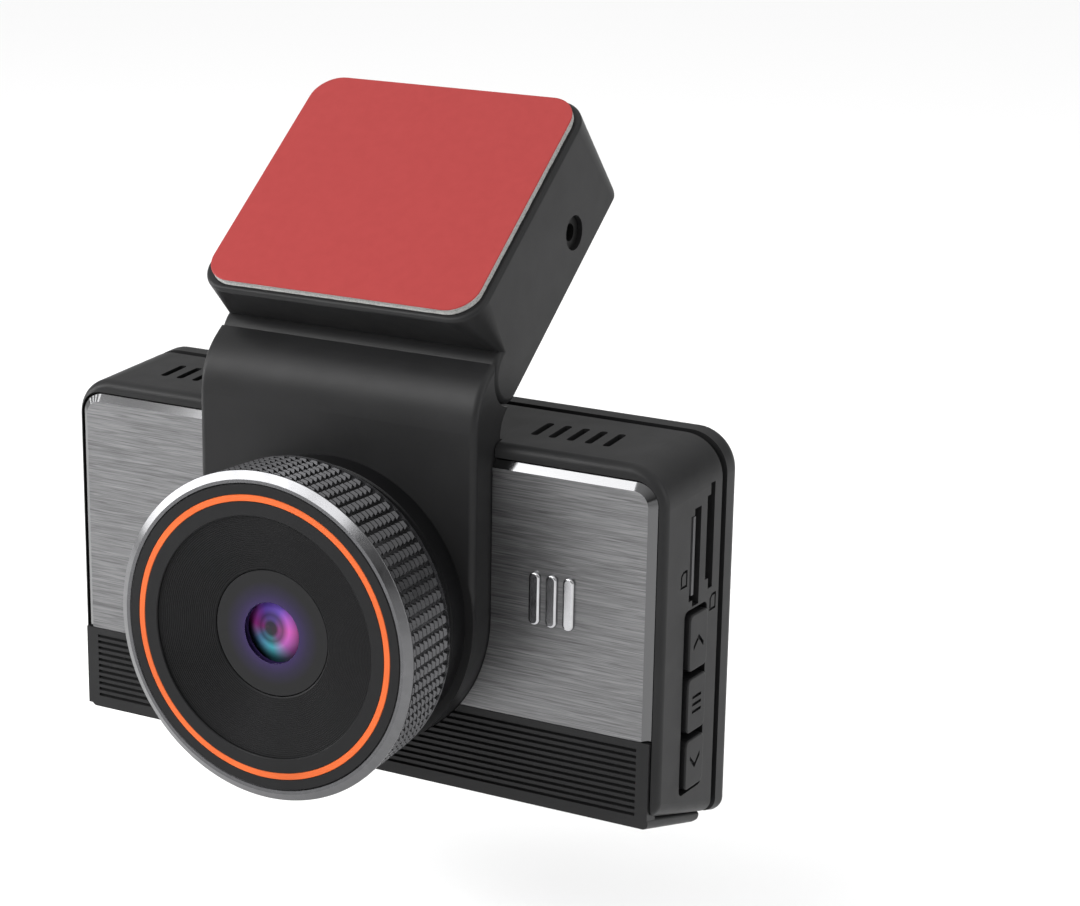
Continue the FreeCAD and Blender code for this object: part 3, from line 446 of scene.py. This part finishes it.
MATERIALS = {
    "red_film": liner_film(),
    "grey_foam": foam(),
    "black_plastic": satin_plastic("black_plastic", (0.012, 0.012, 0.0124)),
    "key_plastic": satin_plastic("key_plastic", (0.0085, 0.0085, 0.009), 0.4),
    "socket_plastic": satin_plastic("socket_plastic", (0.006, 0.006, 0.006), 0.5, 0.25, 0.15),
    "lens_black": satin_plastic("lens_black", (0.005, 0.005, 0.0054), 0.38, 0.15, 0.12),
    "baffle_black": satin_plastic("baffle_black", (0.005, 0.005, 0.0054), 0.45, 0.1, 0.12),
    "bezel_black": satin_plastic("bezel_black", (0.007, 0.007, 0.0075), 0.33, 0.12, 0.14),
    "accent_orange": satin_plastic("accent_orange", (0.55, 0.098, 0.019), 0.36, 0.05, 0.2),
    "gunmetal": plain_metal("gunmetal", (0.10, 0.10, 0.104), 0.26),
    "polished_edge": plain_metal("polished_edge", (0.13, 0.13, 0.134), 0.2),
    "polished_mark": plain_metal("polished_mark", (0.42, 0.42, 0.43), 0.14),
    "plated_steel": plain_metal("plated_steel", (0.60, 0.60, 0.60), 0.3),
    "heat_aluminium": plain_metal("heat_aluminium", (0.66, 0.66, 0.67), 0.4),
    "battery_foil": plain_metal("battery_foil", (0.62, 0.62, 0.63), 0.45),
    "brushed_plate": brushed_metal(),
    "coated_glass": painted_coating_reflection(),
    "lens_glass": cover_glass_material(),
    "screen_glass": screen_glass_material(),
    "screen_panel": satin_plastic("screen_panel", (0.008, 0.008, 0.01), 0.2, 0.05),
    "circuit_board": board_material(),
    "ceramic_patch": satin_plastic("ceramic_patch", (0.48, 0.36, 0.20), 0.6),
    "washer_nylon": satin_plastic("washer_nylon", (0.62, 0.60, 0.55), 0.45),
    "chip": satin_plastic("chip", (0.02, 0.02, 0.022), 0.5),
    "card_plastic": satin_plastic("card_plastic", (0.075, 0.075, 0.078), 0.4),
    "speaker_black": satin_plastic("speaker_black", (0.02, 0.02, 0.02), 0.6),
}


def paint_frame():
    """Give every CAD node the material of its slot."""
    slots = {s["node"]: s["material_slot"] for s in frame["record"]["subparts"]}
    for name, node in frame["nodes"].items():
        node.data.materials.clear()
        node.data.materials.append(MATERIALS[slots[name]])


# ---------------------------------------------------------------- mesh helpers
def piece(name, mesh, slot, body, replaces=(), extra=()):
    """Make an object from a bmesh, with the material of its slot and any extra ones, parented to
    its body, and hide the CAD nodes it stands for.
    """
    data = bpy.data.meshes.new(name)
    bmesh.ops.recalc_face_normals(mesh, faces=mesh.faces)
    mesh.to_mesh(data)
    mesh.free()
    data.materials.append(MATERIALS[slot])
    for other in extra:
        data.materials.append(MATERIALS[other])
    for polygon in data.polygons:
        polygon.use_smooth = True
    data.set_sharp_from_angle(angle=math.radians(SHARP_ANGLE))
    thing = bpy.data.objects.new(name, data)
    bpy.context.scene.collection.objects.link(thing)
    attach(thing, body)
    if replaces:
        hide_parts(*replaces)
    return thing


def on_lens(radius, depth, angle):
    """Point at a radius and a depth behind the lens front, in mm, at an angle round the axis."""
    return Vector((LENS_X + radius * math.cos(angle) * MM, LENS_FRONT + depth * MM,
                   LENS_Z + radius * math.sin(angle) * MM))


def turn_into(mesh, profile, segments=RING_SEGMENTS, closed=True, slots=None):
    """Add an outline of (radius, depth) points turned about the lens axis. An open outline
    starts and ends on the axis. Each entry of slots is the material of one outline edge."""
    rings = []
    for radius, depth in profile:
        if radius < ON_AXIS:
            rings.append([mesh.verts.new(on_lens(0, depth, 0))])
            continue
        rings.append([mesh.verts.new(on_lens(radius, depth, 2 * math.pi * i / segments))
                      for i in range(segments)])
    count = len(rings)
    for k in range(count if closed else count - 1):
        first = rings[k]
        second = rings[(k + 1) % count]
        for i in range(segments):
            j = (i + 1) % segments
            corners = [first[i % len(first)], first[j % len(first)],
                       second[j % len(second)], second[i % len(second)]]
            unique = list(dict.fromkeys(corners))
            face = mesh.faces.new(unique)
            if slots:
                face.material_index = slots[k]


# ---------------------------------------------------------------- lens unit
def knurl_radius(depth):
    """Outer radius of the conical knurled band at a depth behind the lens front."""
    share = (depth - SLOPE_DEPTH) / (RING_LENGTH - SLOPE_DEPTH)
    return RING_R + (KNURL_REAR_R - RING_R) * share


def knurled_ring():
    """Dark metal ring: polished front slope, rows of teeth, plain rear edge with a chamfer."""
    mesh = bmesh.new()
    rear = RING_LENGTH
    band_front = KNURL_FRONT - 0.08
    band_rear = rear - KNURL_REAR_MARGIN + 0.08
    outline = [
        (BEZEL_R + 0.02, 0.15), (BEZEL_R + 0.14, 0.0), (SLOPE_INNER_R, 0.0),
        (RING_R - 0.04, SLOPE_DEPTH - 0.03), (RING_R, SLOPE_DEPTH + 0.08),
        (knurl_radius(0.86), 0.86),
        (knurl_radius(band_front) - KNURL_HEIGHT, band_front),
        (knurl_radius(band_rear) - KNURL_HEIGHT, band_rear),
        (knurl_radius(band_rear) - 0.05, band_rear + 0.1), (KNURL_REAR_R - 0.05, rear - 0.45),
        (KNURL_REAR_R - 0.5, rear), (RING_SEAT_R, rear), (RING_SEAT_R, RING_BACK),
        (BEZEL_R + 0.02, RING_BACK)]
    polished = [0, 0, 1, 1, 0, 0, 0, 0, 0, 0, 0, 0, 0, 0]
    turn_into(mesh, outline, slots=polished)
    row_length = (rear - KNURL_REAR_MARGIN - KNURL_FRONT) / KNURL_ROWS
    step = 2 * math.pi / KNURL_STRIPS
    for strip in range(KNURL_STRIPS):
        for row in range(KNURL_ROWS):
            tooth(mesh, KNURL_FRONT + row * row_length, row_length, strip * step, step)
    return piece("knurled_ring_detail", mesh, "gunmetal", "camera", ["knurled_ring"],
                 ["polished_edge"])


def tooth(mesh, start, length, angle, step):
    """One wedge-shaped tooth, steep at its front and sloping to the rear."""
    def rim(ends, half_width, sunk):
        near, far = ends
        points = []
        for share, side in ((near, -1), (near, 1), (far, 1), (far, -1)):
            depth = start + share * length
            turn = angle + side * half_width
            points.append(mesh.verts.new(on_lens(knurl_radius(depth) - sunk, depth, turn)))
        return points

    low = rim(TOOTH_FOOT_ENDS, step * TOOTH_FOOT_WIDTH, KNURL_HEIGHT + 0.05)
    high = rim(TOOTH_TOP_ENDS, step * TOOTH_TOP_WIDTH, 0.03)
    mesh.faces.new(high)
    for i in range(4):
        j = (i + 1) % 4
        mesh.faces.new([low[i], low[j], high[j], high[i]])
    mesh.faces.new(list(reversed(low)))


def lens_collar():
    """Round black collar between the arm and the ring, with one fine groove."""
    mesh = bmesh.new()
    front = (COLLAR_LOW.y - LENS_FRONT) / MM
    rear = (COLLAR_HIGH.y - LENS_FRONT) / MM
    turn_into(mesh, [
        (COLLAR_INNER_R, front), (RING_SEAT_R - 0.02, front), (RING_SEAT_R - 0.02, front + 1.0),
        (COLLAR_R - 0.15, front + 1.0), (COLLAR_R, front + 1.15), (COLLAR_R, front + 3.2),
        (COLLAR_R - 0.25, front + 3.35), (COLLAR_R - 0.25, front + 3.75),
        (COLLAR_R, front + 3.9), (COLLAR_R, rear), (COLLAR_INNER_R, rear)])
    return piece("lens_collar_detail", mesh, "lens_black", "camera", ["lens_collar"])


def lens_bezel():
    """Flat black ring with a shallow groove that holds the accent ring."""
    mesh = bmesh.new()
    inner = ACCENT_R - ACCENT_WIDTH
    outer = ACCENT_R
    turn_into(mesh, [
        (BAFFLE_R, 0.12), (BAFFLE_R + 0.12, 0.0), (inner - 0.06, 0.0), (inner - 0.02, 0.05),
        (inner - 0.02, BEZEL_GROOVE_DEPTH), (outer + 0.02, BEZEL_GROOVE_DEPTH),
        (outer + 0.02, 0.05), (outer + 0.06, 0.0), (BEZEL_R - 0.1, 0.0), (BEZEL_R, 0.1),
        (BEZEL_R, RING_BACK), (BEZEL_LIP_R, RING_BACK), (BEZEL_LIP_R, BEZEL_LIP_DEPTH),
        (BAFFLE_R, BEZEL_LIP_DEPTH)])
    return piece("lens_bezel_detail", mesh, "bezel_black", "camera", ["lens_bezel"])


def accent_ring():
    """Thin orange ring that sits in the bezel's groove."""
    mesh = bmesh.new()
    inner = ACCENT_R - ACCENT_WIDTH
    outer = ACCENT_R
    turn_into(mesh, [
        (inner, 0.08), (inner + 0.06, 0.01), (outer - 0.06, 0.01), (outer, 0.08),
        (outer, 0.49), (inner, 0.49)])
    return piece("accent_ring_detail", mesh, "accent_orange", "camera", ["accent_ring"])


def lens_baffle():
    """Shallow funnel of fine rounded ridges between the bezel and the glass."""
    run = (BAFFLE_R - COVER_R - 0.1) / BAFFLE_RIDGES
    drop = (COVER_DEPTH - 0.1 - BAFFLE_FRONT) / BAFFLE_RIDGES
    profile = [(BAFFLE_R, BAFFLE_FRONT)]
    for i in range(BAFFLE_RIDGES):
        radius = BAFFLE_R - i * run
        level = BAFFLE_FRONT + i * drop
        profile.append((radius - run * 0.15, level))
        profile.append((radius - run * 0.5, level + 0.012))
        profile.append((radius - run * 0.8, level + 0.1))
    back = COVER_DEPTH + COVER_THICKNESS
    profile += [(COVER_R + 0.05, COVER_DEPTH - 0.02), (COVER_R + 0.05, back),
                (BAFFLE_INNER_R, back), (BAFFLE_INNER_R, BAFFLE_BACK), (BAFFLE_R, BAFFLE_BACK)]
    mesh = bmesh.new()
    turn_into(mesh, profile)
    return piece("lens_baffle_detail", mesh, "baffle_black", "camera", ["lens_baffle"])


def front_glass():
    """Flat glass with a fine chamfer round its rim."""
    mesh = bmesh.new()
    back = COVER_DEPTH + COVER_THICKNESS - 0.02
    turn_into(mesh, [(0, COVER_DEPTH), (COVER_R - 0.12, COVER_DEPTH),
                     (COVER_R - 0.02, COVER_DEPTH + 0.1), (COVER_R - 0.02, back), (0, back)],
              closed=False)
    return piece("cover_glass_detail", mesh, "lens_glass", "camera", ["cover_glass"])


def make_lens():
    """All the turned pieces round the lens axis."""
    knurled_ring()
    lens_collar()
    lens_bezel()
    accent_ring()
    lens_baffle()
    front_glass()


# ---------------------------------------------------------------- adhesive pad
def pad_place():
    """Centre of the pad's outer face and its axes: across, up along it, and out of it."""
    mount = next(m for m in frame["record"]["mounts"] if m["name"] == "windscreen_pad")
    out = Vector(mount["axis"]).normalized()
    across = Vector((1, 0, 0))
    return Vector(mount["pos_m"]), across, out.cross(across), out


def slab_size(node, up, out):
    """Half width, half length and thickness of a thin slab that leans with the pad."""
    low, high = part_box(node)
    extent = high - low
    length = (extent.y * up.y - extent.z * up.z) / (up.y ** 2 - up.z ** 2)
    thickness = (extent.z - length * up.z) / out.z
    return extent.x / 2, length / 2, thickness


def pad_outline(half_width, half_length, radius):
    """Points round a rounded rectangle, close enough together to let its edge wander."""
    points = []
    corners = [(1, 1), (-1, 1), (-1, -1), (1, -1)]
    for index, (side, end) in enumerate(corners):
        centre = (side * (half_width - radius), end * (half_length - radius))
        for step in range(PAD_CORNER_STEPS + 1):
            angle = math.pi / 2 * (index + step / PAD_CORNER_STEPS)
            points.append((centre[0] + radius * math.cos(angle),
                           centre[1] + radius * math.sin(angle)))
        start = points[-1]
        side, end = corners[(index + 1) % 4]
        next_angle = math.pi / 2 * (index + 1)
        stop = (side * (half_width - radius) + radius * math.cos(next_angle),
                end * (half_length - radius) + radius * math.sin(next_angle))
        for step in range(1, PAD_EDGE_STEPS):
            share = step / PAD_EDGE_STEPS
            points.append((start[0] + (stop[0] - start[0]) * share,
                           start[1] + (stop[1] - start[1]) * share))
    return points


def pad_layer(name, node, slot, depth, levels, wander):
    """Thin layer of the pad; levels are (share of thickness, inset in mm) down its edge."""
    origin, across, up, out = pad_place()
    half_width, half_length, thickness = slab_size(node, up, out)
    mesh = bmesh.new()
    rings = []
    for share, inset in levels:
        ring = []
        outline = pad_outline(half_width, half_length, PAD_CORNER_R * MM)
        for index, (a, b) in enumerate(outline):
            wave = math.sin(index * EDGE_WAVES[0])
            wave += math.sin(index * EDGE_WAVES[1] + share * EDGE_WAVE_SHIFT)
            shrink = 1 - (inset + wander * (2 + wave) / 4) * MM / half_length
            place = origin + across * a * shrink + up * b * shrink
            ring.append(mesh.verts.new(place - out * (depth + thickness * share)))
        rings.append(ring)
    count = len(rings[0])
    for first, second in zip(rings, rings[1:]):
        for i in range(count):
            j = (i + 1) % count
            mesh.faces.new([first[i], first[j], second[j], second[i]])
    mesh.faces.new(rings[0])
    mesh.faces.new(list(reversed(rings[-1])))
    return piece(name, mesh, slot, "mount", [node]), thickness


def make_pad():
    """Red release film over a grey foam pad whose cut edge is slightly hollow and uneven."""
    film_levels = [(0.0, 0.07), (0.35, 0.0), (0.75, 0.0), (1.0, 0.04)]
    foam_levels = [(0.0, 0.03), (0.1, 0.01), (0.28, 0.08), (0.5, 0.13), (0.72, 0.09),
                   (0.9, 0.01), (1.0, 0.03)]
    _, film_thickness = pad_layer("red_liner_film", "red_liner", "red_film", 0.0,
                                  film_levels, 0.0)
    foam_pad, _ = pad_layer("adhesive_foam_pad", "adhesive_foam", "grey_foam",
                            film_thickness, foam_levels, 0.05)


# ---------------------------------------------------------------- stage
def area_light(name, location, target, size, power):
    """White rectangular light that looks at its target."""
    data = bpy.data.lights.new(name, "AREA")
    data.shape = "RECTANGLE"
    data.size, data.size_y = size
    data.energy = power
    light = bpy.data.objects.new(name, data)
    light.location = location
    light.rotation_euler = (Vector(target) - Vector(location)).to_track_quat("-Z", "Y").to_euler()
    bpy.context.scene.collection.objects.link(light)


def make_stage():
    """Plain pale floor a little below the object, world and lights."""
    low = CAD_BOX[0]
    mesh = bpy.data.meshes.new("floor")
    size = FLOOR_HALF_SIZE
    mesh.from_pydata([(-size, -size, 0), (size, -size, 0), (size, size, 0), (-size, size, 0)],
                     [], [(0, 1, 2, 3)])
    floor = bpy.data.objects.new("floor", mesh)
    floor.location = (0, 0, low.z - FLOOR_GAP)
    bpy.context.scene.collection.objects.link(floor)
    paint = Surface("floor", (0.93, 0.93, 0.93), 0.9, specular=0.0)
    mesh.materials.append(paint.material)

    make_world()
    middle = (CAD_BOX[0] + CAD_BOX[1]) / 2
    lens = Vector((LENS_X, LENS_FRONT, LENS_Z))
    for index, direction in enumerate(KEY_ARCH):
        place = lens + Vector(direction) * ARCH_REACH
        area_light("arch_%d" % index, place, lens, ARCH_SIZE, ARCH_POWER)
    area_light("right_fill", middle + FILL_PLACE, middle, FILL_SIZE, FILL_POWER)


def make_world():
    """Studio that is bright above, pale along the floor's far edge and dim between them."""
    world = bpy.data.worlds.new("studio")
    world.use_nodes = True
    nodes = world.node_tree.nodes
    links = world.node_tree.links
    coords = nodes.new("ShaderNodeTexCoord")
    split = nodes.new("ShaderNodeSeparateXYZ")
    ramp = nodes.new("ShaderNodeValToRGB")
    stops = ramp.color_ramp.elements
    stops.new(0.5)
    stops.new(0.6)
    for stop, (height, level) in zip(stops, WORLD_LEVELS):
        stop.position = height
        stop.color = (level, level, level, 1)
    links.new(coords.outputs["Generated"], split.inputs["Vector"])
    links.new(split.outputs["Z"], ramp.inputs["Fac"])
    links.new(ramp.outputs["Color"], nodes["Background"].inputs["Color"])
    nodes["Background"].inputs["Strength"].default_value = WORLD_STRENGTH
    bpy.context.scene.world = world


def make_camera():
    """Camera that looks at its aim point from the photograph's side."""
    azimuth = math.radians(CAMERA_AZIMUTH)
    elevation = math.radians(CAMERA_ELEVATION)
    back = Vector((math.sin(azimuth) * math.cos(elevation),
                   -math.cos(azimuth) * math.cos(elevation), math.sin(elevation)))
    level = (-back).cross(Vector((0, 0, 1))).normalized()
    upright = level.cross(-back)
    roll = math.radians(CAMERA_ROLL)
    right = level * math.cos(roll) + upright * math.sin(roll)
    up = upright * math.cos(roll) - level * math.sin(roll)
    data = bpy.data.cameras.new("photo_camera")
    data.lens = CAMERA_LENS
    data.sensor_width = SENSOR_WIDTH
    camera = bpy.data.objects.new("photo_camera", data)
    turn = Matrix((right, up, back)).transposed().to_4x4()
    camera.matrix_world = Matrix.Translation(CAMERA_AIM + back * CAMERA_DISTANCE) @ turn
    bpy.context.scene.collection.objects.link(camera)
    bpy.context.scene.camera = camera
    bpy.context.scene.view_settings.view_transform = "Standard"


make_camera()
make_stage()
paint_frame()
make_lens()
make_pad()
